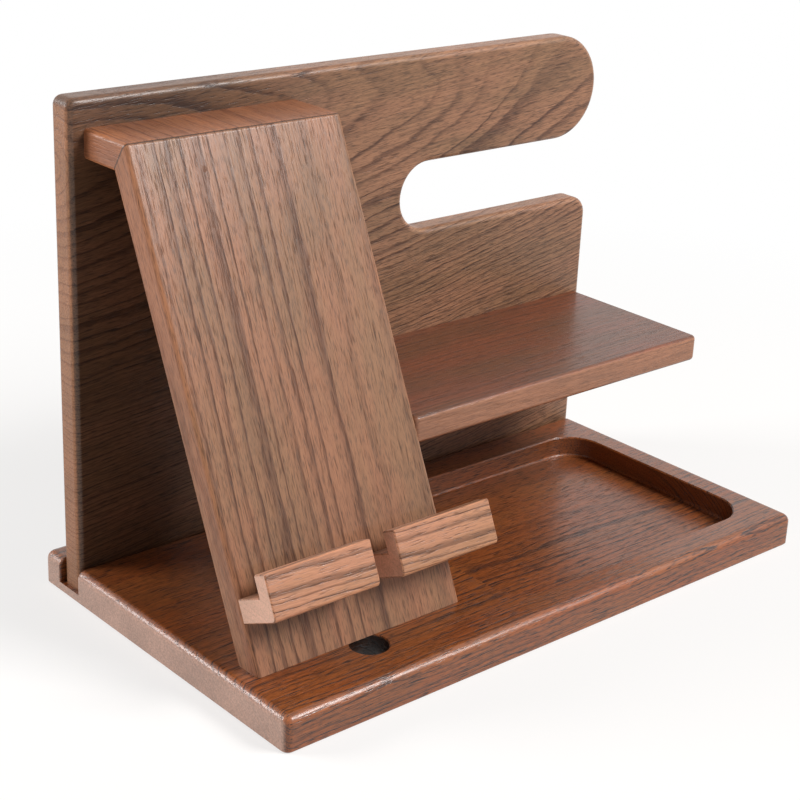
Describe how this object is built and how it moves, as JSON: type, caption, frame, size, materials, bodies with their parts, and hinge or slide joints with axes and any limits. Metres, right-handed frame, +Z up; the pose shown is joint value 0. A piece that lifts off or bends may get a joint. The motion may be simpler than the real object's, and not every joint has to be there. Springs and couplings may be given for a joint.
{
  "type": "phone and watch docking stand",
  "caption": "Wooden desk dock: leaning phone rest with cable gap, watch arm over an open slot, small shelf and a routed tray in the base board.",
  "frame": {"origin": "centre of the base board's underside, on the table", "axes": "+X to the right seen from the front, +Y to the rear, towards the back panel, +Z up"},
  "size_m": [0.3, 0.173, 0.2175],
  "materials": {
    "base_ash": "walnut stain under satin lacquer",
    "panel_ash": "walnut stain under satin lacquer",
    "shelf_ash": "walnut stain under satin lacquer",
    "dowel_beech": "bare",
    "plate_ash": "walnut stain under satin lacquer",
    "stand_ash": "walnut stain under satin lacquer",
    "rest_ash": "walnut stain under satin lacquer"
  },
  "bodies": {
    "base": {"base_board": "base_ash"},
    "panel": {"back_panel": "panel_ash"},
    "shelf": {"shelf": "shelf_ash", "shelf_dowels": "dowel_beech"},
    "stand": {"stand_top_plate": "plate_ash", "stand_board": "stand_ash", "stand_dowels": "dowel_beech", "phone_rest_left": "rest_ash", "phone_rest_right": "rest_ash"}
  },
  "joints": [
    {"name": "panel_lift", "type": "slide", "parent": "base", "child": "panel", "axis": [0, 0, 1], "range_m": [0, 0.04]},
    {"name": "shelf_pull", "type": "slide", "parent": "panel", "child": "shelf", "axis": [0, -1, 0], "range_m": [0, 0.15]},
    {"name": "stand_pull", "type": "slide", "parent": "panel", "child": "stand", "axis": [0, -1, 0], "range_m": [0, 0.16]}
  ]
}
